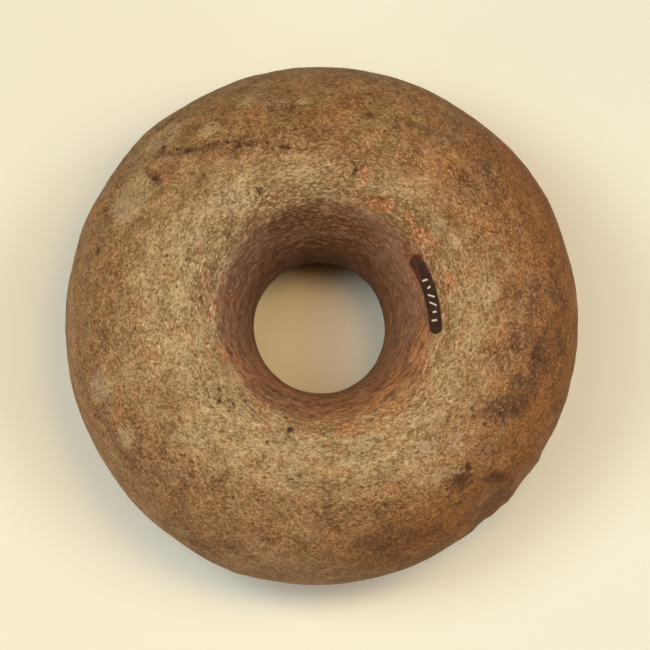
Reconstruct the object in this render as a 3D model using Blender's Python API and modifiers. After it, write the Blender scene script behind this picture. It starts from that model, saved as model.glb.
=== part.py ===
"""A perforated stone whorl: one thick ring of sandstone, pecked and ground to shape by hand.

The bore was worked in from both faces, so it is an hourglass: wide at each mouth and narrowest at
half height. The ring lies on its underside, where use has worn a narrow flat. Units are metres, +Z is
up, and the origin is on the bore's axis, on the surface that the whorl rests on.
"""

from math import atan2, cos, hypot, pi, radians, sin

import bpy
from mathutils import Vector

# Driving dimensions
OUTER_RADIUS = 0.0320
THICKNESS = 0.0256
EQUATOR_HEIGHT = 0.0126
WAIST_RADIUS = 0.0083
WAIST_HEIGHT = 0.0128
MOUTH_FLARE = 0.0103
UNDER_FLARE = 0.0096
REST_WIDTH = 0.0034

# How full each quarter of the section is: 2 is an ellipse, more is squarer, less is nearer a cone
SHOULDER_FULLNESS = 2.10
BELLY_FULLNESS = 2.20
BORE_FULLNESS = 1.90

# Hand work: how far the ring strays from a turned one, with the bearing of each feature in degrees
BORE_OFF_CENTRE = 0.00030
OFF_CENTRE_BEARING = 59
OVAL_SWELL = 0.00036
OVAL_BEARING = 81
LOBE_SWELL = 0.00018
LOBE_BEARING = 14
CROWN_TILT = 0.00022
CROWN_BEARING = 205
BORE_OVAL = 0.00026
BORE_OVAL_BEARING = 92
BORE_LEAN = 0.00028
BORE_LEAN_BEARING = 270
MOUTH_LEAN = 0.00065
MOUTH_BEARING = 12
LEAN_REACH = 0.0168
RIPPLE_DEPTH = 0.00007
# Each wave: how many crests go round the ring, how far they slant, and where the first one starts
RIPPLE_WAVES = ((7, 1.0, 0.0), (11, -1.7, 1.3), (17, 2.3, 4.1))

# Facets of the mesh
TURN_STEPS = 90
QUARTER_STEPS = 9
CUTTER_SUBDIVISIONS = 4
MERGE_DISTANCE = 0.00001

# Flake scars and the worn spall: bearing, how far up the section, ball that fits the scar, depth, and
# how much taller than wide. The way up the section runs from 0 at the equator to 90 at the crown, and
# is negative below.
SCARS = {
    "rim_flat": {"bearing": -24.5, "rise": 5, "ball": 0.055, "depth": 0.00034, "tall": 1.3},
    "rim_scar_upper": {"bearing": -37.0, "rise": 2, "ball": 0.015, "depth": 0.00050, "tall": 2.4},
    "rim_scar_lower": {"bearing": -46.5, "rise": 10, "ball": 0.011, "depth": 0.00044, "tall": 2.1},
    "worn_spall": {"bearing": 150.0, "rise": 40, "ball": 0.036, "depth": 0.00058, "tall": 1.2},
    "under_scar": {"bearing": 118.0, "rise": -48, "ball": 0.018, "depth": 0.00085, "tall": 1.0},
}

SANDSTONE = (0.33, 0.21, 0.105, 1.0)

crown_radius = WAIST_RADIUS + MOUTH_FLARE
rest_inner_radius = WAIST_RADIUS + UNDER_FLARE
rest_outer_radius = rest_inner_radius + REST_WIDTH
shoulder_width = OUTER_RADIUS - crown_radius
shoulder_height = THICKNESS - EQUATOR_HEIGHT


def clear_scene():
    for old in list(bpy.data.objects):
        bpy.data.objects.remove(old, do_unlink=True)


def new_collection(name):
    collection = bpy.data.collections.new(name)
    bpy.context.scene.collection.children.link(collection)
    return collection


def move_to(obj, collection):
    for old in obj.users_collection:
        old.objects.unlink(obj)
    collection.objects.link(obj)


def stone_material():
    material = bpy.data.materials.new("sandstone")
    material.use_nodes = True
    shader = material.node_tree.nodes["Principled BSDF"]
    shader.inputs["Base Color"].default_value = SANDSTONE
    shader.inputs["Roughness"].default_value = 0.8
    shader.inputs["Metallic"].default_value = 0.0
    return material


def on_quarter(width, height, fullness, turn):
    """A point of a superellipse about the origin; turn is its parameter in degrees."""
    across, up = cos(radians(turn)), sin(radians(turn))
    power = 2 / fullness
    return (
        width * abs(across) ** power * (1 if across >= 0 else -1),
        height * abs(up) ** power * (1 if up >= 0 else -1),
    )


def quarter(centre_radius, centre_height, width, height, fullness, start):
    """Points of one quarter of the section, from start degrees clockwise, without its last point."""
    points = []
    for step in range(QUARTER_STEPS):
        across, up = on_quarter(width, height, fullness, start - 90 * step / QUARTER_STEPS)
        points.append((centre_radius + across, centre_height + up))
    return points


def section():
    """The ring's section as (radius, height), clockwise from the crown down the outer side."""
    under_width = OUTER_RADIUS - rest_outer_radius
    upper_bore = THICKNESS - WAIST_HEIGHT
    return (
        quarter(crown_radius, EQUATOR_HEIGHT, shoulder_width, shoulder_height, SHOULDER_FULLNESS, 90)
        + quarter(rest_outer_radius, EQUATOR_HEIGHT, under_width, EQUATOR_HEIGHT, BELLY_FULLNESS, 0)
        + [(rest_outer_radius, 0.0)]
        + quarter(rest_inner_radius, WAIST_HEIGHT, UNDER_FLARE, WAIST_HEIGHT, BORE_FULLNESS, -90)
        + quarter(crown_radius, WAIST_HEIGHT, MOUTH_FLARE, upper_bore, BORE_FULLNESS, -180)
    )


def turned_ring(collection):
    """The section turned about the bore's axis, as a plain mesh object."""
    points = section()
    count = len(points)
    profile = bpy.data.meshes.new("section")
    profile.from_pydata(
        [(radius, 0.0, height) for radius, height in points],
        [(i, (i + 1) % count) for i in range(count)],
        [],
    )
    turned = bpy.data.objects.new("section", profile)
    collection.objects.link(turned)
    screw = turned.modifiers.new("Turn", "SCREW")
    screw.angle = 2 * pi
    screw.steps = screw.render_steps = TURN_STEPS
    screw.use_merge_vertices = True
    screw.merge_threshold = MERGE_DISTANCE
    bpy.context.view_layer.update()
    evaluated = turned.evaluated_get(bpy.context.evaluated_depsgraph_get())
    mesh = bpy.data.meshes.new_from_object(evaluated)
    bpy.data.objects.remove(turned, do_unlink=True)
    mesh.name = "whorl"
    ring = bpy.data.objects.new("whorl", mesh)
    collection.objects.link(ring)
    return ring


def outline_swell(bearing):
    """How far the outline stands out from a circle at a bearing in radians."""
    off_centre = BORE_OFF_CENTRE * cos(bearing - radians(OFF_CENTRE_BEARING))
    oval = OVAL_SWELL * cos(2 * (bearing - radians(OVAL_BEARING)))
    lobes = LOBE_SWELL * cos(3 * (bearing - radians(LOBE_BEARING)))
    return off_centre + oval + lobes


def ripple(bearing, height):
    """Shallow hollows and swellings left by pecking, as waves that wind round the ring."""
    turn = height / THICKNESS * 2 * pi
    return RIPPLE_DEPTH * sum(
        sin(count * bearing + twist * turn + start) for count, twist, start in RIPPLE_WAVES
    )


def work_by_hand(x, y, height):
    """Where a point of the turned ring ends up on the hand-made one."""
    radius, bearing = hypot(x, y), atan2(y, x)
    outward = (radius - WAIST_RADIUS) / (OUTER_RADIUS - WAIST_RADIUS)
    above = max(0.0, (height - WAIST_HEIGHT) / (THICKNESS - WAIST_HEIGHT))
    lift = min(1.0, height / EQUATOR_HEIGHT)
    radius += outward * (outline_swell(bearing) + lift * ripple(bearing, height))
    height += above * outward * CROWN_TILT * cos(bearing - radians(CROWN_BEARING))
    inward = max(0.0, 1 - (radius - WAIST_RADIUS) / LEAN_REACH)
    radius += inward * BORE_OVAL * cos(2 * (bearing - radians(BORE_OVAL_BEARING)))
    bore_lean = Vector((cos(radians(BORE_LEAN_BEARING)), sin(radians(BORE_LEAN_BEARING)))) * BORE_LEAN
    mouth_lean = Vector((cos(radians(MOUTH_BEARING)), sin(radians(MOUTH_BEARING)))) * MOUTH_LEAN
    lean = inward * (bore_lean + above * mouth_lean)
    return radius * cos(bearing) + lean.x, radius * sin(bearing) + lean.y, height


def on_side(bearing, rise):
    """A point of the outer side and its outward direction, at a bearing and rise in degrees."""
    if rise >= 0:
        centre, width, height = crown_radius, shoulder_width, shoulder_height
        fullness = SHOULDER_FULLNESS
    else:
        centre, width, height = rest_outer_radius, OUTER_RADIUS - rest_outer_radius, EQUATOR_HEIGHT
        fullness = BELLY_FULLNESS
    across, up = on_quarter(width, height, fullness, rise)
    slope = (abs(across) / width) ** (fullness - 1) / width
    climb = (abs(up) / height) ** (fullness - 1) / height * (1 if up >= 0 else -1)
    east, north = cos(radians(bearing)), sin(radians(bearing))
    radius = centre + across
    point = Vector(work_by_hand(radius * east, radius * north, EQUATOR_HEIGHT + up))
    return point, Vector((slope * east, slope * north, climb)).normalized()


def cut_scar(ring, name, bearing, rise, ball, depth, tall, collection):
    """Scoops a shallow scar out of the ring with a ball, drawn out upwards, that sinks in by depth."""
    point, outward = on_side(bearing, rise)
    bpy.ops.mesh.primitive_ico_sphere_add(
        subdivisions=CUTTER_SUBDIVISIONS, radius=ball, location=point + outward * (ball - depth)
    )
    cutter = bpy.context.object
    cutter.name = name
    cutter.rotation_mode = "QUATERNION"
    cutter.rotation_quaternion = outward.to_track_quat("X", "Z")
    cutter.scale.z = tall
    cutter.display_type = "WIRE"
    cutter.hide_render = True
    move_to(cutter, collection)
    cut = ring.modifiers.new(name, "BOOLEAN")
    cut.operation = "DIFFERENCE"
    cut.solver = "EXACT"
    cut.object = cutter


def build():
    clear_scene()
    whorl_parts = new_collection("spindle_whorl")
    cutters = new_collection("cutters")
    ring = turned_ring(whorl_parts)
    for vertex in ring.data.vertices:
        vertex.co = work_by_hand(*vertex.co)
    ring.data.materials.append(stone_material())
    ring.data.shade_smooth()
    for name, scar in SCARS.items():
        cut_scar(ring, name, collection=cutters, **scar)


build()
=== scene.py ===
from math import atan2, cos, degrees, hypot, pi, radians, sin, tau

import bmesh
import bpy
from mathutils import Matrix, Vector, noise
from mathutils.bvhtree import BVHTree


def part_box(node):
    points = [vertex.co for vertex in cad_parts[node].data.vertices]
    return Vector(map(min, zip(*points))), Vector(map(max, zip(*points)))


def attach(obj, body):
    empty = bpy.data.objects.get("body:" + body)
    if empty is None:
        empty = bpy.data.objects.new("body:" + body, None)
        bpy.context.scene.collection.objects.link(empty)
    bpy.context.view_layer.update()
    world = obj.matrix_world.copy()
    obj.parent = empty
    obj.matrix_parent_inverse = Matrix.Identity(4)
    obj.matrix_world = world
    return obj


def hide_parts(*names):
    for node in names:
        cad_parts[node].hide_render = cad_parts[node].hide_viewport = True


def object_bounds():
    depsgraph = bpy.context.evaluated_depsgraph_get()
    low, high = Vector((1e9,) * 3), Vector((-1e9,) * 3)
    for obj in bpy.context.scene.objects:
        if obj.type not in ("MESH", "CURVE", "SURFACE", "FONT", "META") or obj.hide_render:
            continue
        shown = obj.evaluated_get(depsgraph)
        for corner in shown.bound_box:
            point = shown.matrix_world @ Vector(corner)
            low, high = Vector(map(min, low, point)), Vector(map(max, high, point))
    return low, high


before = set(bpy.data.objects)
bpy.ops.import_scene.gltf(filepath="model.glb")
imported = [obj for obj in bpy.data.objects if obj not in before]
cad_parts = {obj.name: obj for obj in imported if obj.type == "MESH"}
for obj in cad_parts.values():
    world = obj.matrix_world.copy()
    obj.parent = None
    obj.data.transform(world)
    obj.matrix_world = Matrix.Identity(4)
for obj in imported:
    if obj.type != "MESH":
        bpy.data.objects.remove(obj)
cad_low, cad_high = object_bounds()


# The whorl is one ring of brown, granular sandstone, pecked round with a hammerstone and ground with
# sand and water. Its bore was worked in from both faces until the two hollows met. A sheet of fine
# quads is rolled into a thin ring inside the solid and cast outwards onto it, to keep its form.
MM = 0.001
TURN_STEPS = 480
SECTION_STEPS = 200
THREAD_RADIUS = 2 * MM
RELAX_PASSES = 12
WELD_DISTANCE = 0.001 * MM

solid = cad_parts["whorl"]
low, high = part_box("whorl")
waist_radius = min(vertex.co.xy.length for vertex in solid.data.vertices)
outer_radius = (high.x - low.x + high.y - low.y) / 4
core_radius = (waist_radius + outer_radius) / 2
core_height = (low.z + high.z) / 2


def core_beside(place):
    """The point of the ring's core circle at the same bearing as place."""
    flat = Vector((place.x, place.y, 0)).normalized() * core_radius
    return Vector((flat.x, flat.y, core_height))


def roll_up_sheet():
    """A flat sheet of even quads rolled into a thin ring round the core circle, its seams joined."""
    ring = bmesh.new()
    bmesh.ops.create_grid(ring, x_segments=TURN_STEPS, y_segments=SECTION_STEPS, size=0.5)
    for vertex in ring.verts:
        turn, section_turn = vertex.co.x * tau, vertex.co.y * tau
        outward = core_radius + THREAD_RADIUS * cos(section_turn)
        rise = THREAD_RADIUS * sin(section_turn)
        vertex.co = (outward * cos(turn), outward * sin(turn), core_height + rise)
    bmesh.ops.remove_doubles(ring, verts=ring.verts, dist=WELD_DISTANCE)
    bmesh.ops.recalc_face_normals(ring, faces=ring.faces)
    return ring


def cast_onto_solid(ring):
    """Throws each point of the thread outwards onto the solid, and relaxes the facets away."""
    surface = BVHTree.FromObject(solid, bpy.context.evaluated_depsgraph_get())
    for vertex in ring.verts:
        core = core_beside(vertex.co)
        vertex.co = surface.ray_cast(core, (vertex.co - core).normalized())[0]
    for _ in range(RELAX_PASSES):
        bmesh.ops.smooth_vert(
            ring, verts=ring.verts, factor=0.5, use_axis_x=True, use_axis_y=True, use_axis_z=True
        )
    ring.normal_update()


ring = roll_up_sheet()
cast_onto_solid(ring)


# Its surface is what pecking, grinding and long use have left: low swellings, a coarse grain, small
# pits where grains fell out, a line of hollows along one bed of the stone, thin flakes off the
# shoulder, low steps in the rim beside its scars, and fine rings in the bore from the boring stick.
SWELL = 0.10
SWELL_SPAN = 7.5
LUMP = 0.075
LUMP_SPAN = 2.6
GRAIN = 0.065
GRAIN_SPAN = 0.95
DRAWN_IN = 7.0
GROOVE_DEPTH = 0.030
GROOVE_SPAN = 1.15
MOUTH_CENTRE = Vector((0.9, -0.5))
MOUTH_RADIUS = 13.6
MOUTH_OVAL = 0.96
MOUTH_EDGE = (MOUTH_RADIUS - 1.2, MOUTH_RADIUS + 0.6)
RIM_SLOPE = (26.0, 30.5)
UPPER_SIDE = (12.0, 16.0)
MARKED_ABOVE = 9.0
FULL_OF_DIRT = 0.22
NEARBY = 1.5
FAR_OFF = 9.0

# Families of pits: how far apart, what share of the places has one, radius, depth
PIT_FAMILIES = (
    {"apart": 1.5, "share": 0.40, "radius": 0.42, "depth": 0.09},
    {"apart": 4.1, "share": 0.28, "radius": 0.70, "depth": 0.17},
)

# Hollows that stand out by themselves: place in plan, half length, half width, turn, depth
HOLLOWS = (
    (-19.3, 20.0, 0.9, 0.5, 20, 0.20), (-18.1, 19.3, 0.8, 0.5, -10, 0.20),
    (-16.0, 19.8, 1.1, 0.5, 5, 0.24), (-12.7, 20.2, 1.3, 0.5, 8, 0.20),
    (-9.8, 20.1, 1.2, 0.45, -5, 0.16), (-7.0, 19.6, 1.0, 0.45, -10, 0.15),
    (-2.4, 19.3, 1.0, 0.4, 0, 0.13), (-20.4, 16.4, 1.5, 0.6, -45, 0.15),
    (-16.0, 5.5, 0.7, 0.5, 30, 0.14), (-27.2, 7.4, 0.9, 0.45, 62, 0.22),
    (-3.6, -15.5, 0.8, 0.5, 55, 0.16), (18.1, -19.8, 0.9, 0.6, 90, 0.22),
    (17.2, -21.2, 1.8, 0.6, 20, 0.18), (21.5, -20.4, 1.5, 0.6, 18, 0.15),
    (23.8, -12.9, 1.3, 0.8, 70, 0.14), (4.3, 16.4, 2.2, 0.28, 75, 0.20),
    (7.0, 13.5, 1.6, 0.28, -10, 0.18), (20.4, -13.0, 2.2, 0.9, 24, 0.14),
    (-7.4, 14.2, 0.9, 0.5, -50, 0.14), (6.2, 24.0, 0.9, 0.6, 30, 0.13),
)

# Thin flakes lost from the shoulder: place in plan, half length, half width, turn, depth
FLAKES = (
    (-22.4, 13.6, 5.2, 3.2, 62, 0.20),
    (-21.6, 20.6, 4.2, 2.2, 44, 0.16),
    (15.4, 7.6, 2.2, 1.2, 60, 0.10),
    (12.8, -22.4, 5.0, 2.6, -28, 0.13),
)

# Steps that old flakes have left in the rim's outline: bearing, half width in degrees, how far out
RIM_STEPS = (
    (-50.5, 3.0, -0.20), (-41.5, 3.6, 0.26), (-37.4, 2.6, 0.13), (-33.0, 3.8, 0.28),
    (-20.0, 7.0, 0.18),
)
RIM_HEIGHT = 12.6
RIM_REACH = (2.5, 8.0)

# Marks on the upper side, by kind: place in plan, half length, half width, turn, strength
MARKS = {
    "iron": (
        (7.7, 12.7, 2.7, 1.2, -14, 1.0), (5.6, 16.2, 1.8, 0.8, 75, 1.0),
        (12.7, 8.6, 3.4, 1.3, -34, 1.0), (11.0, 11.0, 1.8, 0.9, -45, 0.8),
        (16.0, 3.0, 2.2, 1.0, -80, 0.75), (3.8, -15.6, 3.8, 1.5, 8, 0.85),
        (9.0, -12.6, 3.2, 1.3, 40, 0.75), (-12.9, -0.4, 2.8, 0.9, 90, 0.7),
        (-11.7, -5.6, 2.8, 0.9, -64, 0.7), (14.0, 17.0, 8.0, 4.5, -38, 0.48),
        (22.0, 9.0, 6.0, 3.0, -66, 0.44), (-18.7, 16.0, 1.6, 1.1, 30, 0.7),
        (-10.8, 16.6, 2.2, 1.3, 10, 0.6), (-27.4, 13.2, 2.4, 1.4, 64, 0.7),
        (12.6, -7.2, 2.6, 1.0, 62, 0.6), (-3.5, -24.0, 4.5, 1.8, 0, 0.5),
        (-22.5, -10.5, 3.0, 1.6, -60, 0.5), (9.5, -22.6, 3.6, 1.5, 18, 0.5),
        (1.5, 24.5, 5.5, 1.8, 3, 0.5), (-8.6, 24.4, 2.8, 1.3, 20, 0.55),
        (14.8, -1.0, 1.6, 0.9, 88, 0.6),
    ),
    "plum": (
        (22.8, -12.6, 4.6, 2.4, 22, 1.0), (26.8, -6.2, 4.2, 2.2, 82, 1.0),
        (25.2, -9.8, 4.6, 3.2, 60, 0.72), (18.1, -19.7, 1.0, 0.7, 90, 1.0),
        (21.5, -20.4, 2.6, 1.0, 18, 0.85), (17.2, -21.4, 2.8, 1.5, 20, 0.9),
        (22.0, -23.0, 7.0, 2.8, 40, 0.72), (6.2, 24.0, 1.7, 1.1, 0, 0.75),
        (8.0, -28.6, 9.0, 2.6, 14, 0.58), (-19.2, 19.2, 1.8, 0.9, 20, 0.6),
        (-20.4, 16.6, 2.4, 1.0, -45, 0.75), (-15.0, 19.4, 3.4, 0.9, 2, 0.7),
        (24.6, 3.0, 2.4, 1.3, 80, 0.5), (-9.0, 20.0, 3.6, 0.7, -3, 0.65),
        (13.0, 22.0, 3.0, 1.4, -30, 0.5), (-23.0, -4.0, 1.8, 1.0, 80, 0.4),
        (-12.2, -21.6, 2.0, 1.0, 10, 0.65), (-7.0, -24.5, 3.4, 1.3, -6, 0.4),
        (15.6, -14.8, 1.6, 1.0, 40, 0.5), (29.2, -11.0, 2.6, 2.0, 70, 0.5),
    ),
    "slate": (
        (-16.0, 5.6, 0.60, 0.40, 40, 0.95), (-14.2, 5.2, 1.9, 0.6, -8, 0.55),
        (-27.2, 7.4, 0.9, 0.40, 62, 0.9), (-18.2, 24.7, 1.2, 0.6, 35, 0.70),
        (-7.4, 14.2, 0.9, 0.40, -50, 0.8), (-19.1, -15.2, 0.5, 0.35, 20, 0.9),
        (-10.9, -12.0, 1.0, 0.45, 15, 0.80), (-3.6, -15.4, 0.9, 0.50, 55, 0.9),
        (-12.7, -21.8, 0.5, 0.40, 0, 0.8), (-5.4, -20.8, 0.5, 0.40, 30, 0.8),
        (12.3, -15.2, 1.3, 0.55, 20, 0.65), (11.0, -16.2, 0.9, 0.7, 60, 0.7),
        (6.8, -17.0, 1.5, 0.6, 0, 0.6), (5.0, -22.5, 0.5, 0.40, 0, 0.7),
    ),
    "bleach": (
        (-19.1, 22.0, 4.0, 2.2, 42, 0.95), (-23.1, 13.8, 5.6, 3.2, 62, 1.0),
        (-13.2, 22.3, 2.2, 1.2, 28, 0.95), (-9.0, 25.8, 2.0, 1.1, 24, 0.85),
        (-1.8, 26.0, 1.5, 1.0, 0, 0.8), (-11.2, 13.4, 3.6, 3.0, 20, 0.8),
        (-14.6, 8.6, 2.6, 2.2, 50, 0.7), (14.7, 9.8, 1.6, 1.1, 50, 1.0),
        (16.4, 7.9, 1.6, 1.3, 60, 1.0), (17.0, -20.2, 0.8, 0.6, 0, 1.0),
        (15.2, -20.6, 2.6, 1.3, 10, 0.85), (16.8, -16.6, 2.0, 1.5, 40, 0.75),
        (3.6, -19.4, 3.4, 1.6, 0, 0.65), (-15.6, -8.0, 3.6, 2.2, -60, 0.7),
        (18.5, -5.0, 2.8, 1.9, 70, 0.75), (0.5, 17.2, 3.0, 1.3, 0, 0.65),
        (-19.6, 1.5, 2.8, 2.0, 80, 0.65), (-6.5, -18.4, 3.0, 1.6, -10, 0.65),
        (-15.4, -16.4, 4.0, 2.0, -25, 0.8), (13.4, 15.6, 1.6, 1.0, -30, 0.6),
        (-26.6, -9.4, 3.0, 1.9, -74, 0.9), (-23.6, -15.8, 2.6, 1.5, -52, 0.8),
        (12.5, -18.0, 3.4, 1.8, 30, 0.75), (-2.5, -20.6, 2.6, 1.4, 5, 0.6),
        (20.6, 0.6, 2.4, 1.8, 85, 0.7), (15.0, -10.6, 2.6, 1.9, 50, 0.6),
    ),
    "seam": (
        (-17.2, 19.7, 3.2, 0.8, -3, 1.0), (-10.5, 20.1, 4.6, 0.8, -2, 1.0),
        (-3.0, 19.4, 4.2, 0.7, -4, 0.9), (-20.4, 16.5, 2.0, 0.8, -45, 1.0),
        (-19.2, 20.4, 1.8, 0.8, 50, 0.9), (-7.3, 14.2, 1.4, 0.7, -50, 0.8),
        (-11.4, -11.8, 3.4, 1.8, -40, 0.6), (-3.8, -15.6, 1.6, 1.2, 30, 0.7),
        (17.6, -20.6, 2.4, 1.2, 20, 0.8), (21.0, -13.0, 4.0, 2.0, 24, 0.6),
        (27.0, -7.0, 2.4, 1.6, 82, 0.5), (4.0, 16.6, 2.6, 0.6, 62, 0.6),
        (-16.0, -20.0, 4.0, 2.4, -40, 0.5), (8.0, -24.0, 6.0, 1.8, 14, 0.45),
        (-24.6, 8.4, 3.0, 1.4, 70, 0.5),
    ),
}


def fade(value, start, end):
    """0 at start, 1 at end, with a soft curve between."""
    share = min(1.0, max(0.0, (value - start) / (end - start)))
    return share * share * (3 - 2 * share)


def pit(place, apart, share, radius, depth):
    """How deep the pits of one family lie at a place."""
    distances, centres = noise.voronoi(place / apart)
    pick = noise.cell_vector(centres[0] * 7.3 + Vector((3.1, 8.7, 5.3)))
    if pick.x > share:
        return 0.0
    reach = radius * (0.55 + 0.9 * pick.y)
    return depth * (0.5 + pick.z) * (1 - fade(distances[0] * apart, 0.25 * reach, reach))


def reach_of(place, east, north, half_length, half_width, turn):
    """How far a place is from the middle of a turned oval, where 1 is its edge, or FAR_OFF."""
    away_east, away_north = place.x - east, place.y - north
    if max(abs(away_east), abs(away_north)) > NEARBY * half_length:
        return FAR_OFF
    along = away_east * cos(radians(turn)) + away_north * sin(radians(turn))
    across = away_north * cos(radians(turn)) - away_east * sin(radians(turn))
    return hypot(along / half_length, across / half_width)


def hollow(place):
    """How deep the named hollows lie at a place on the upper side."""
    deepest = 0.0
    for *oval, depth in HOLLOWS:
        reach = reach_of(place, *oval)
        if reach < NEARBY:
            ragged = reach * (1 + 0.6 * noise.noise(place * 1.6))
            deepest = max(deepest, depth * (1 - fade(ragged, 0.2, 1.0)))
    return deepest


def flake(place):
    """How far the surface is down where a thin flake has come off the shoulder."""
    lost = 0.0
    for *oval, depth in FLAKES:
        reach = reach_of(place, *oval)
        if reach < NEARBY:
            ragged = 0.30 * noise.noise(place * 0.55) + 0.12 * noise.noise(place * 1.7)
            lost = max(lost, depth * (1 - fade(reach + ragged, 0.80, 1.0)))
    return lost


def rim_step(place):
    """How far the rim stands out beside the scars in its outline."""
    bearing = degrees(atan2(place.y, place.x))
    out = 0.0
    for middle, half_width, rise in RIM_STEPS:
        out += rise * (1 - fade(abs(bearing - middle), 0.3 * half_width, half_width))
    return out * (1 - fade(abs(place.z - RIM_HEIGHT), *RIM_REACH))


def stained(place, marks):
    """How strongly the upper side is stained at a place by one kind of mark."""
    strongest = 0.0
    for *oval, strength in marks:
        strongest = max(strongest, strength * (1 - fade(reach_of(place, *oval), 0.2, 1.2)))
    return strongest


def combed(place):
    """A place, drawn in to the axis: what is read there is drawn out round the ring by as much."""
    flat = place.xy * (1 - DRAWN_IN / place.xy.length)
    return Vector((flat.x, flat.y, place.z))


def surface_of(place):
    """How far the stone stands out at a place in millimetres, and how deep it is pitted there."""
    from_mouth = hypot(place.x - MOUTH_CENTRE.x, MOUTH_OVAL * (place.y - MOUTH_CENTRE.y))
    inside = 1 - fade(from_mouth, *MOUTH_EDGE)
    rim = fade(place.xy.length, *RIM_SLOPE)
    upper = fade(place.z, *UPPER_SIDE)
    coarse = (1 - 0.45 * rim) * (1 - 0.65 * inside)
    out = SWELL * (1 - 0.5 * inside) * noise.fractal(place / SWELL_SPAN, 1.0, 2.0, 3)
    out += LUMP * coarse * noise.fractal(place / LUMP_SPAN, 0.8, 2.1, 2)
    out += GRAIN * coarse * noise.fractal(combed(place) / GRAIN_SPAN, 0.55, 2.1, 3)
    out += rim * rim_step(place)
    depth = sum(pit(place, **family) for family in PIT_FAMILIES) * coarse
    if upper > 0 and inside < 1:
        depth += upper * (1 - inside) * hollow(place)
        out -= upper * flake(place)
    wander = 0.5 * noise.noise(place * 0.35) + 0.25 * noise.noise(place * 0.9)
    groove = sin(tau * (place.z / GROOVE_SPAN + wander)) * noise.noise(place * 0.28)
    out += GROOVE_DEPTH * inside * groove
    return out - depth, min(1.0, depth / FULL_OF_DIRT)


mark_layers = {kind: ring.verts.layers.float.new(kind) for kind in MARKS}
hollow_layer = ring.verts.layers.float.new("hollow")
ring.verts.index_update()
moves = []
for vertex in ring.verts:
    out, depth = surface_of(vertex.co / MM)
    moves.append(vertex.normal * out * MM)
    vertex[hollow_layer] = depth
    if vertex.co.z > MARKED_ABOVE * MM:
        for kind, mark_layer in mark_layers.items():
            vertex[mark_layer] = stained(vertex.co / MM, MARKS[kind])
for vertex, move in zip(ring.verts, moves):
    vertex.co += move
    vertex.co.z = max(vertex.co.z, cad_low[2])

# The ring is laid out flat in two half turns, one above the other, cut along the middle of its
# underside.
SHEET_MARGIN = 0.004
flat_map = ring.loops.layers.uv.new("OFBake")


def round_ring(place):
    """Where a point is: its turn round the bore, and round the section from the underside."""
    outward = hypot(place.x, place.y) - core_radius
    return atan2(place.y, place.x) % tau, (atan2(place.z - core_height, outward) + pi / 2) % tau


def nearest_turn(angle, other):
    """The same angle, by whole turns as near as it can be to the other."""
    return other + (angle - other + pi) % tau - pi


vertex_turns = [round_ring(vertex.co) for vertex in ring.verts]
for face in ring.faces:
    turn, section_turn = round_ring(face.calc_center_median())
    strip = int(turn >= pi)
    for loop in face.loops:
        loop_turn, loop_section = vertex_turns[loop.vert.index]
        along = (nearest_turn(loop_turn, turn) - strip * pi) / pi
        across = (nearest_turn(loop_section, section_turn) / tau + strip) / 2
        inset = 1 - 2 * SHEET_MARGIN
        loop[flat_map].uv = (SHEET_MARGIN + inset * along, SHEET_MARGIN + inset * across)

mesh = bpy.data.meshes.new("whorl_stone")
for face in ring.faces:
    face.smooth = True
ring.to_mesh(mesh)
ring.free()
whorl = bpy.data.objects.new("whorl_stone", mesh)
bpy.context.scene.collection.objects.link(whorl)
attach(whorl, "root")
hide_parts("whorl")


# The sandstone is quartz sand bound by iron: olive buff where use has rubbed it round the mouth,
# russet and umber where the patina is whole, and speckled all over by single grains.
class Field:
    """A value, colour or vector that varies over the stone, with the sums that build it up."""

    def __init__(self, socket):
        self.socket = socket

    def sum_with(self, operation, *others, clamp=False):
        settings = {"operation": operation, "use_clamp": clamp}
        return stone_node("ShaderNodeMath", settings, self, *others)

    def __add__(self, other):
        return self.sum_with("ADD", other)

    __radd__ = __add__

    def __mul__(self, other):
        return self.sum_with("MULTIPLY", other)

    __rmul__ = __mul__

    def __sub__(self, other):
        return self.sum_with("SUBTRACT", other)

    def __rsub__(self, other):
        return stone_node("ShaderNodeMath", {"operation": "SUBTRACT"}, other, self)

    def __truediv__(self, other):
        return self.sum_with("DIVIDE", other)

    def __pow__(self, other):
        return self.sum_with("POWER", other)

    def __abs__(self):
        return self.sum_with("ABSOLUTE")

    def most(self, other):
        return self.sum_with("MAXIMUM", other)

    def held(self):
        return self.sum_with("ADD", 0.0, clamp=True)

    def swing(self, width):
        """A value that runs from 0 to 1, made to swing about 0 by so much in all."""
        return (self - 0.5) * width

    def ramp(self, start, end):
        """0 at start and 1 at end, with a soft curve between."""
        settings = {"interpolation_type": "SMOOTHSTEP"}
        return stone_node("ShaderNodeMapRange", settings, self, start, end, 0.0, 1.0)


stone = bpy.data.materials.new("sandstone")
stone.use_nodes = True
stone_tree = stone.node_tree


def stone_node(kind, settings, *values, output=0, **named):
    """Adds a node: its settings first, then its inputs in order or by name. Gives one output."""
    made = stone_tree.nodes.new(kind)
    for setting, value in settings.items():
        setattr(made, setting, value)
    for key, value in [*enumerate(values), *named.items()]:
        if isinstance(value, Field):
            stone_tree.links.new(value.socket, made.inputs[key])
        elif value is not None:
            made.inputs[key].default_value = value
    return Field(made.outputs[output])


def vector_math(operation, *values, output=0):
    """Sums with vectors, which give a vector, or a plain value where output says so."""
    return stone_node("ShaderNodeVectorMath", {"operation": operation}, *values, output=output)


def part_of(vector, axis):
    """The X, Y or Z of a vector."""
    return stone_node("ShaderNodeSeparateXYZ", {}, vector, output=axis)


def channel_of(tint, number):
    """The red, green or blue of a colour, as 0, 1 or 2."""
    return stone_node("ShaderNodeSeparateColor", {}, tint, output=number)


def layer(name):
    """What the mesh carries under a name, point by point."""
    return stone_node("ShaderNodeAttribute", {"attribute_name": name}, output="Fac")


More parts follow.
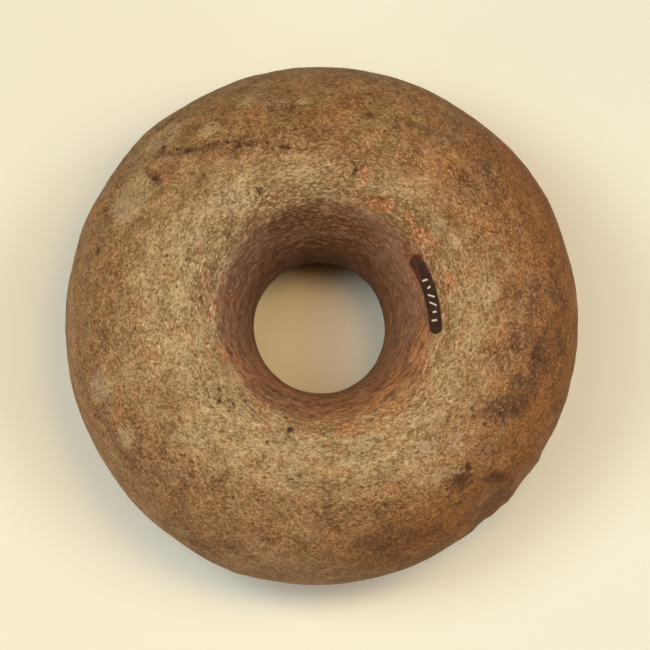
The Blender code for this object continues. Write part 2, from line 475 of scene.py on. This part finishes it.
def tone(red, green, blue):
    """A colour given as it looks on a screen, from 0 to 255, as linear light."""
    shown = [part / 255 for part in (red, green, blue)]
    light = [part / 12.92 if part < 0.04 else ((part + 0.055) / 1.055) ** 2.4 for part in shown]
    return [*light, 1.0]


def blend(under, over, share, way="MIX"):
    """One colour laid over another by a share that varies."""
    settings = {"data_type": "RGBA", "blend_type": way, "clamp_factor": True}
    unused = [None] * 5
    return stone_node("ShaderNodeMix", settings, share, *unused, under, over, output=2)


def shade(under, share):
    """A colour made darker, or brighter, by a share of itself."""
    return blend(under, share, 1.0, "MULTIPLY")


CLOUDY = {"noise_dimensions": "4D"}
NEAREST_GRAIN = {"feature": "F1"}


def mottle(span, detail, rough, seed):
    """Cloudy variation from 0 to 1, whose patches are about span millimetres across."""
    return stone_node("ShaderNodeTexNoise", CLOUDY, grain_place, seed, 1 / span, detail, rough)


in_metres = stone_node("ShaderNodeTexCoord", {}, output="Object")
enlarged = (1 / MM, 1 / MM, 1 / MM)
place_mm = stone_node("ShaderNodeMapping", {}, in_metres, (0, 0, 0), (0, 0, 0), enlarged)
in_plan = vector_math("MULTIPLY", place_mm, (1, 1, 0))
height = part_of(place_mm, "Z")
radius = vector_math("LENGTH", in_plan, output="Value")
over_mouth = vector_math("SUBTRACT", in_plan, (*MOUTH_CENTRE, 0))
over_mouth = vector_math("MULTIPLY", over_mouth, (1, MOUTH_OVAL, 0))
from_mouth = vector_math("LENGTH", over_mouth, output="Value")
pitted = layer("hollow")

# The grinding has combed the grain round the ring, so the texture is drawn out in that direction.
share_in = stone_node("ShaderNodeMath", {"operation": "DIVIDE"}, DRAWN_IN, radius)
grain_place = stone_node("ShaderNodeCombineXYZ", {}, 1 - share_in, 1 - share_in, 1.0)
grain_place = vector_math("MULTIPLY", place_mm, grain_place)

clouds = mottle(9.0, 3.0, 0.5, 1.0)
patches = mottle(3.2, 4.0, 0.6, 2.0)
hues = mottle(2.2, 4.0, 0.65, 9.0)
flecks = mottle(1.0, 3.0, 0.65, 3.0)
drift = mottle(1.7, 3.0, 0.65, 6.0)
crumbs = mottle(0.55, 3.0, 0.70, 23.0)

BUFF = tone(195, 166, 121)
OLIVE = tone(152, 129, 84)
ORANGE = tone(174, 128, 84)
RUSSET = tone(150, 102, 56)
UMBER = tone(110, 72, 44)
MOSS = tone(142, 113, 69)
DUST = tone(168, 136, 103)
EARTH = tone(146, 106, 68)

RUBBED_CENTRE = (-1.6, -2.6, 0)
RUBBED_EDGE = (14.0, 28.6)
REDDER_WAY = (1, 0.3, 0)
RIMMED_WAY = (0.97, -0.26, 0)
from_rubbed = vector_math("DISTANCE", in_plan, RUBBED_CENTRE, output="Value")
worn = 1 - (from_rubbed + patches.swing(9.0) + clouds.swing(13.0)).ramp(*RUBBED_EDGE)
eastward = vector_math("DOT_PRODUCT", place_mm, REDDER_WAY, output="Value")
eastward = (eastward + clouds.swing(16.0)).ramp(-12.0, 26.0)
whole = blend(EARTH, RUSSET, eastward)
far_east = vector_math("DOT_PRODUCT", place_mm, RIMMED_WAY, output="Value").ramp(3.0, 22.0)
mossy = hues + flecks.swing(0.4)
whole = blend(whole, MOSS, mossy.ramp(0.44, 0.62) * (0.95 - 0.65 * far_east))
dusty = mottle(4.2, 5.0, 0.65, 31.0) + flecks.swing(0.3)
whole = blend(whole, DUST, dusty.ramp(0.50, 0.66) * 0.55)
whole = blend(whole, UMBER, (patches * 0.9 + drift * 0.4 + clouds * 0.3).ramp(0.76, 1.06))
rubbed = blend(OLIVE, BUFF, (drift * 0.8 + flecks * 0.6).ramp(0.50, 0.88))
warmer = hues * 0.6 + patches * 0.4 + flecks.swing(0.25)
rubbed = blend(rubbed, ORANGE, warmer.ramp(0.47, 0.60) * 0.75)
frayed = flecks.swing(0.9) + crumbs.swing(0.8) + drift.swing(0.8)
colour = blend(whole, rubbed, (worn.swing(1.3) + 0.45 + frayed).held())


def grains(span, seed=0.0):
    """A random shade from 0 to 1 for each grain of sand, where a grain is about span across."""
    away = vector_math("ADD", grain_place, (seed, seed, seed))
    shades = stone_node("ShaderNodeTexVoronoi", NEAREST_GRAIN, away, None, 1 / span, output="Color")
    return channel_of(shades, 0)


sand = grains(0.16)
sugar = grains(0.25, 11.0)
speckle = sand * 0.65 + sugar * 0.35


def marked(kind, ragged):
    """Where one kind of mark shows, from 0 to 1, with a ragged edge."""
    strength = layer(kind)
    stray = drift.swing(1.6) + flecks.swing(1.5) + crumbs.swing(1.0) + speckle.swing(0.5)
    return (strength * 1.5 - 0.50 + ragged * stray).ramp(0.05, 0.65) * strength.ramp(0.0, 0.3)


# Marks in the stone: rusty iron, plum-brown bruises, spots of slate blue, and bleached spalls.
RUST = tone(176, 106, 60)
PLUM = tone(92, 58, 42)
SLATE = tone(62, 52, 52)
BLEACH = tone(184, 156, 126)
LICHEN = tone(182, 163, 118)
iron = marked("iron", 1.0)
plum = marked("plum", 1.35)
bleach = marked("bleach", 1.0)
slate = marked("slate", 1.1)
bleached = blend(BLEACH, LICHEN, (hues + clouds.swing(0.5)).ramp(0.42, 0.58))
colour = blend(colour, bleached, bleach * (0.66 + flecks.swing(0.9)))
colour = blend(colour, PLUM, plum * 0.80)

# The bore is darker and redder: its wall is polished and stained by years on the stick, in fine
# streaks that run round it. Its mouth has a soft russet lip. Painted light and shade lie over the
# bore's own colour: its south and east walls are painted brighter and its north wall darker, and the
# stone just north of the mouth is painted darker too.
BORE_SHADED_RED = tone(98, 61, 39)
BORE_LIT_EMBER = tone(182, 122, 78)
BORE_DARK = tone(92, 58, 40)
BORE_GREY = tone(112, 82, 64)
LIP = tone(162, 107, 64)
BORE_STRETCH = 2.2
STREAK_SPAN = 0.36
STAINED_EDGE = (MOUTH_RADIUS - 1.1, MOUTH_RADIUS + 0.5)
SHADED_EDGE = (MOUTH_RADIUS - 1.0, MOUTH_RADIUS + 6.0)
LIP_RADIUS = MOUTH_RADIUS + 0.6
edge_of_bore = from_mouth + drift.swing(1.3) + flecks.swing(1.1)
in_bore = 1 - edge_of_bore.ramp(*STAINED_EDGE)
off_bore = 1 - in_bore
lip = (1 - abs(edge_of_bore - LIP_RADIUS).ramp(0.3, 2.4)) * (hues * 1.4).ramp(0.35, 0.85)
round_bore = vector_math("NORMALIZE", in_plan)
round_bore = vector_math("MULTIPLY", round_bore, (BORE_STRETCH, BORE_STRETCH, 0))
down_bore = height * 0.9 + radius * (height.ramp(11.8, 13.8) * 1.8 - 0.9)
streaks = stone_node("ShaderNodeTexNoise", CLOUDY, round_bore, down_bore, 1 / STREAK_SPAN, 4.0, 0.75)
northward = part_of(place_mm, "Y").ramp(-12.0, 10.0)
# The bore's south wall is painted a bright ember and its north wall a dark red: painted light and
# shade over its own red stain.
bore_colour = blend(BORE_LIT_EMBER, BORE_SHADED_RED, northward)
bore_colour = blend(bore_colour, BORE_DARK, 1 - (streaks + drift.swing(0.3)).ramp(0.40, 0.58))
greyed = (clouds + hues.swing(0.9)).ramp(0.44, 0.58) * (0.45 + 0.3 * northward)
bore_colour = blend(bore_colour, BORE_GREY, greyed)
# The bore's east wall is painted brighter, most on its north half: painted light.
painted_light_side = part_of(place_mm, "X").ramp(-4.0, 12.0)
bore_colour = shade(bore_colour, 1 + 0.45 * painted_light_side * (0.2 + 0.9 * northward))
colour = blend(colour, LIP, lip * 0.62)
colour = blend(colour, bore_colour, in_bore)
# The stone within a few millimetres of the mouth's north side, outside the bore, is painted darker:
# painted shade.
near_mouth = 1 - from_mouth.ramp(*SHADED_EDGE)
colour = shade(colour, 1 - 0.38 * near_mouth * northward * off_bore)
colour = shade(colour, 1 - 0.07 * worn * (1 - far_east) * off_bore)
colour = blend(colour, RUST, iron * 0.68)

# The grains themselves: pale quartz and dark iron, strongest where the stone is rubbed.
PALE_GRAIN = tone(218, 190, 150)
AMBER_GRAIN = tone(200, 158, 112)
GLINT = tone(236, 222, 194)
# The outer rim's painted shade: its darker, warmer tint, and the radii where it starts and where it
# is full.
RIM_PAINTED_SHADE = (0.73, 0.57, 0.34, 1.0)
RIM_SHADE_FROM = 23
RIM_SHADE_FULL = 31
DARK_GRAIN = tone(86, 53, 22)
grain_strength = (1 - 0.40 * in_bore) * (1 - 0.25 * plum)
pale = blend(AMBER_GRAIN, PALE_GRAIN, worn * off_bore)
colour = blend(colour, pale, speckle.ramp(0.45, 0.95) * grain_strength * 0.62)
colour = blend(colour, DARK_GRAIN, (1 - speckle.ramp(0.05, 0.55)) * grain_strength * 0.62)
colour = blend(colour, GLINT, sugar.ramp(0.975, 0.995) * worn * off_bore * 0.3)
pale_spots = mottle(0.9, 3.0, 0.6, 41.0) + patches.swing(0.3)
colour = blend(colour, pale, pale_spots.ramp(0.56, 0.78) * (1 - 0.7 * in_bore) * 0.5)
soft_shade = 1 + (1.1 - 0.3 * worn) * (mottle(2.4, 3.0, 0.6, 14.0) - 0.5)
colour = shade(colour, soft_shade)
# The outer rim is painted darker and warmer, most strongly towards the east: painted shade.
rim_painted_shade = radius.ramp(RIM_SHADE_FROM, RIM_SHADE_FULL) * (0.14 + 0.86 * far_east)
colour = blend(colour, RIM_PAINTED_SHADE, rim_painted_shade, "MULTIPLY")
colour = blend(colour, DARK_GRAIN, crumbs.ramp(0.54, 0.72) * (0.42 - 0.08 * worn))

# Small dark pores lie scattered over it, in crowds along the seams of the stone, and the deeper
# hollows hold dirt.
PORE = tone(62, 39, 24)
PORE_SHAKE = 0.8
shaking = Field(crumbs.socket.node.outputs["Color"])
shaking = vector_math("MULTIPLY", shaking, (PORE_SHAKE, PORE_SHAKE, PORE_SHAKE))
shaken = vector_math("ADD", grain_place, shaking)
seam = layer("seam")
crowd = 0.08 + 0.30 * patches.ramp(0.50, 0.72) + 0.70 * seam


def pored(span, size, share):
    """Where pores of one size lie: span is how far apart they are, and size their share of it."""
    cells = stone_node("ShaderNodeTexVoronoi", NEAREST_GRAIN, shaken, None, 1 / span)
    pick = channel_of(Field(cells.socket.node.outputs["Color"]), 1)
    return (1 - cells.ramp(0.4 * size, size)) * (1 - (pick - share).ramp(0.0, 0.04))


pore = pored(0.85, 0.30 + 0.16 * seam, crowd).most(pored(0.42, 0.36 + 0.10 * seam, crowd * 0.9))
colour = blend(colour, PORE, pore * (0.66 + 0.25 * seam) * (1 - 0.6 * in_bore))
colour = blend(colour, SLATE, slate * 0.80)
dirt = pitted + speckle.swing(0.7) + crumbs.swing(0.8)
colour = blend(colour, PORE, dirt.ramp(0.25, 1.05) * 0.75)

# A strip of dark varnish is painted along the mouth's right side, with a row of small white strokes.
VARNISH = tone(44, 23, 13)
WORN_VARNISH = tone(104, 46, 24)
CHALK = tone(226, 214, 198)
STRIP_CENTRE = (-3.2, -3.0, 0)
STRIP_RADIUS = 17.4
STRIP_HALF_WIDTH = 0.78
STRIP_FOOT = (18, 19)
STRIP_MIDDLE = STRIP_RADIUS * radians(15.75)
STRIP_HALF_LENGTH = STRIP_RADIUS * radians(17.2)
STROKES_START = STRIP_RADIUS * radians(2.5)
STROKES_END = STRIP_RADIUS * radians(23.5)
PAINT_EDGE = (-0.07, 0.07)
STROKE_EDGE = (-0.05, 0.05)
STROKE_TIP = (-0.04, 0.04)
STROKE_CUT = 0.05
STROKE_SPACING = 1.06
STROKE_HALF_WIDTH = 0.12
from_centre = vector_math("SUBTRACT", in_plan, STRIP_CENTRE)
east = part_of(from_centre, "X")
north = part_of(from_centre, "Y")
across_strip = vector_math("LENGTH", from_centre, output="Value")
across_strip = across_strip - STRIP_RADIUS
along_strip = north.sum_with("ARCTAN2", east) * STRIP_RADIUS
past_end = (abs(along_strip - STRIP_MIDDLE) - STRIP_HALF_LENGTH + STRIP_HALF_WIDTH).most(0.0)
from_spine = (past_end ** 2 + across_strip ** 2) ** 0.5
rough_edge = flecks.swing(0.5) + speckle.swing(0.12)
strip = (STRIP_HALF_WIDTH - from_spine + rough_edge).ramp(*PAINT_EDGE) * height.ramp(*STRIP_FOOT)
stroke_place = (along_strip - STROKES_START) / STROKE_SPACING
stroke_number = stroke_place.sum_with("FLOOR")
one_by_one = {"noise_dimensions": "1D"}
stroke_shape = stone_node("ShaderNodeTexWhiteNoise", one_by_one, W=stroke_number, output="Color")
stroke_lean = channel_of(stroke_shape, 2) * 1.8 - 0.9
stroke_length = channel_of(stroke_shape, 0) * 0.20 + 0.20
stroke_shift = channel_of(stroke_shape, 1).swing(0.3)
beside_stroke = (stroke_place - stroke_number - 0.5) * STROKE_SPACING + stroke_lean * across_strip
stroke = (STROKE_HALF_WIDTH - abs(beside_stroke)).ramp(*STROKE_EDGE)
stroke = stroke * (stroke_length - abs(across_strip - stroke_shift)).ramp(*STROKE_TIP)
stroke = stroke * along_strip.ramp(STROKES_START, STROKES_START + STROKE_CUT)
stroke = stroke * (1 - along_strip.ramp(STROKES_END, STROKES_END + STROKE_CUT))
varnish = blend(VARNISH, WORN_VARNISH, (flecks + 0.05 * (along_strip - 7.0)).ramp(0.50, 0.72))
varnish = blend(varnish, DARK_GRAIN, speckle.ramp(0.5, 1.0) * 0.5)
colour = blend(colour, varnish, strip * 0.96)
colour = blend(colour, CHALK, strip * stroke * 0.9)

# It is matt, and a little polished in the bore, on the varnish and where the patina is whole.
DULLNESS = 0.86
BORE_POLISH = 0.20
PATINA_POLISH = 0.1
VARNISH_POLISH = 0.1
GRAIN_GLITTER = 0.14
GLEAM = 0.20
BUMP_STRENGTH = 0.55
BUMP_DEPTH = 0.12 * MM
shell = stone_tree.nodes["Principled BSDF"]
stone_tree.links.new(colour.socket, shell.inputs["Base Color"])
dull = DULLNESS - BORE_POLISH * in_bore - PATINA_POLISH * (1 - worn)
dull = dull + sand.swing(GRAIN_GLITTER) - VARNISH_POLISH * strip
stone_tree.links.new(dull.socket, shell.inputs["Roughness"])
shell.inputs["Specular IOR Level"].default_value = GLEAM
grainy = speckle * (1 - 0.5 * in_bore) + flecks * 1.2 + crumbs * 1.2
grainy = (grainy + streaks * in_bore * 0.9 - pore * 0.8) * (1 - strip)
bump = stone_node("ShaderNodeBump", {}, Strength=BUMP_STRENGTH, Distance=BUMP_DEPTH, Height=grainy)
stone_tree.links.new(bump.socket, shell.inputs["Normal"])
mesh.materials.append(stone)


# The whorl lies on a plain pale mat that just fills the view through its bore. The mat is let into
# a broad table top of milk glass, which glows a little.
FLOOR_REACH = 2.0
MAT_RADIUS = 0.021
MAT_SIDES = 96
MAT_TINT = (0.85, 0.82, 0.71, 1.0)
GLASS_TINT = (0.77, 0.79, 0.70, 1.0)
GLOW_TINT = (1.0, 0.80, 0.50, 1.0)
GLASS_GLOW = 0.15


def lay_out(name, shape, cover, glow):
    """Puts a flat shape under the whorl as a part of the table, with a glow of its own or none."""
    for face in shape.faces:
        if face.normal.z < 0:
            face.normal_flip()
    top = bpy.data.meshes.new(name)
    shape.to_mesh(top)
    shape.free()
    laid = bpy.data.objects.new(name, top)
    laid.location.z = cad_low[2]
    bpy.context.scene.collection.objects.link(laid)
    paint = bpy.data.materials.new(name)
    paint.use_nodes = True
    coat = paint.node_tree.nodes["Principled BSDF"]
    coat.inputs["Base Color"].default_value = cover
    coat.inputs["Roughness"].default_value = 0.9
    coat.inputs["Specular IOR Level"].default_value = 0.1
    coat.inputs["Emission Color"].default_value = GLOW_TINT
    coat.inputs["Emission Strength"].default_value = glow
    top.materials.append(paint)


mat_shape = bmesh.new()
bmesh.ops.create_circle(mat_shape, cap_ends=True, segments=MAT_SIDES, radius=MAT_RADIUS)
mat_shape.normal_update()
lay_out("mat", mat_shape, MAT_TINT, 0.0)
glass_shape = bmesh.new()
bmesh.ops.create_circle(glass_shape, cap_ends=False, segments=MAT_SIDES, radius=MAT_RADIUS)
grown = bmesh.ops.extrude_edge_only(glass_shape, edges=glass_shape.edges[:])["geom"]
for vertex in [item for item in grown if isinstance(item, bmesh.types.BMVert)]:
    vertex.co *= FLOOR_REACH / MAT_RADIUS
glass_shape.normal_update()
lay_out("table", glass_shape, GLASS_TINT, GLASS_GLOW)


# Four broad soft lamps stand low round the table, and panels of cool and of warm light hang high on
# its left and on its right. Each has its place in metres, its width, its power and its colour.
LAMPS = {
    "north_east": ((0.448, 0.258, 0.188), 0.30, 0.72, (0.38, 0.60, 1.0)),
    "north_west": ((-0.448, 0.258, 0.188), 0.30, 0.35, (0.90, 1.0, 0.97)),
    "south_west": ((-0.448, -0.258, 0.188), 0.30, 0.78, (0.96, 0.84, 0.90)),
    "south_east": ((0.448, -0.258, 0.188), 0.30, 1.01, (0.63, 0.77, 1.0)),
    "left_panel": ((-0.275, 0.0, 0.476), 0.22, 0.98, (0.75, 0.93, 0.94)),
    "right_panel": ((0.275, 0.0, 0.476), 0.22, 0.81, (1.0, 0.91, 0.58)),
    "left_top": ((-0.096, 0.0, 0.542), 0.16, 0.36, (1.0, 0.78, 0.61)),
    "right_top": ((0.096, 0.0, 0.542), 0.16, 0.80, (1.0, 0.60, 0.25)),
}
for name, (place, size, power, tint) in LAMPS.items():
    light = bpy.data.lights.new(name, "AREA")
    light.shape = "DISK"
    light.size = size
    light.energy = power
    light.color = tint
    stand = bpy.data.objects.new(name, light)
    stand.location = place
    stand.rotation_euler = (-Vector(place)).to_track_quat("-Z", "Y").to_euler()
    bpy.context.scene.collection.objects.link(stand)

ROOM_TINT = (1.0, 0.93, 0.82, 1.0)
ROOM_GLOW = 0.01
room = bpy.data.worlds.new("room")
room.use_nodes = True
room_light = room.node_tree.nodes["Background"]
room_light.inputs["Color"].default_value = ROOM_TINT
room_light.inputs["Strength"].default_value = ROOM_GLOW
bpy.context.scene.world = room


# The camera looks down on the whorl from nearly straight above, and stands a little on its near
# side. It keeps the distance of a long lens.
ELEVATION = 78
DISTANCE = 1.0
VIEW_WIDTH = 0.08022
SENSOR_WIDTH = 36
AIM = Vector((0.0007, 0.0001, 0.0126))
camera_data = bpy.data.cameras.new("camera")
camera_data.sensor_width = SENSOR_WIDTH
camera_data.lens = SENSOR_WIDTH * DISTANCE / VIEW_WIDTH
camera_data.clip_start = 0.01
camera = bpy.data.objects.new("camera", camera_data)
camera.rotation_euler = (radians(90 - ELEVATION), 0, 0)
camera.location = AIM + DISTANCE * Vector((0, -cos(radians(ELEVATION)), sin(radians(ELEVATION))))
bpy.context.scene.collection.objects.link(camera)
bpy.context.scene.camera = camera
bpy.context.scene.view_settings.view_transform = "Standard"
